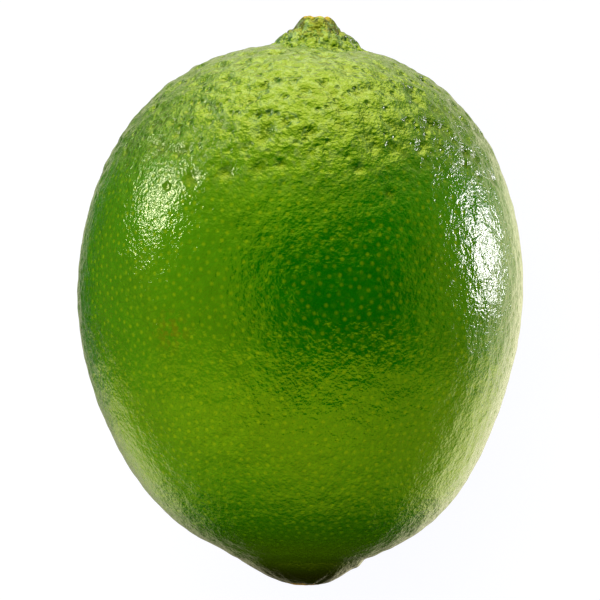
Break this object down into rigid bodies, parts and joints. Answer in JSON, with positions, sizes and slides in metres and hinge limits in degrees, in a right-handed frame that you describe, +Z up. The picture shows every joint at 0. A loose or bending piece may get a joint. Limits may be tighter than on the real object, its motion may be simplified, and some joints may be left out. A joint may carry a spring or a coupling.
{
  "type": "lime fruit",
  "caption": "Fresh green lime: egg-shaped, with a pitted glossy rind, a puckered neck and a low nipple, lying on a small flat spot.",
  "frame": {"origin": "on the surface that the fruit lies on, under the middle of its box", "axes": "+Z up, through the side that the picture shows; +Y along the fruit, from its blossom end to its stem end"},
  "size_m": [0.052, 0.0664, 0.0508],
  "materials": {
    "rind": "fresh lime rind: waxy, semi-gloss, pitted with oil glands, pale green glands on deep green"
  },
  "bodies": {
    "root": {"lime": "rind"}
  },
  "joints": []
}
